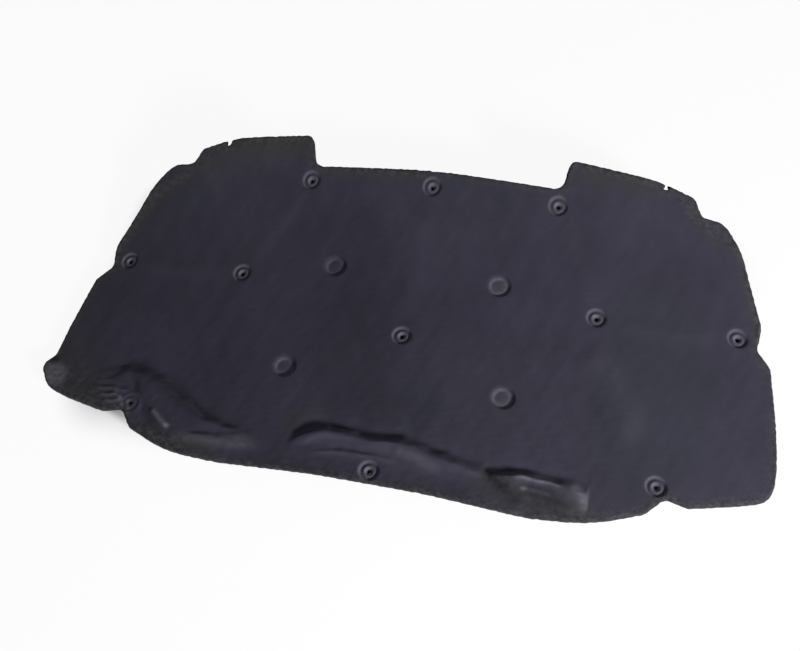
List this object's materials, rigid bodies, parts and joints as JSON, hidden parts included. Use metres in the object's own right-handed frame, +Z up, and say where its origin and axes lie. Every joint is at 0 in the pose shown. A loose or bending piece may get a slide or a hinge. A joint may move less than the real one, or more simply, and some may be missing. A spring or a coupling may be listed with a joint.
{
  "type": "hood insulation pad",
  "caption": "Moulded black felt pad for the underside of a vehicle hood, with a latch recess, pressed clip seats with holes, pressed discs and raised ridges along one edge.",
  "frame": {"origin": "centre of the pad's box, on the surface that it lies on", "axes": "+X across the vehicle, +Y towards the edge with the latch recess, +Z up, out of the side with the pressed clip seats"},
  "size_m": [1.3774, 0.6964, 0.1377],
  "materials": {
    "black_felt": "matte non-woven felt, pressed, with a faint fuzz"
  },
  "bodies": {
    "root": {"hood_pad": "black_felt"}
  },
  "joints": []
}
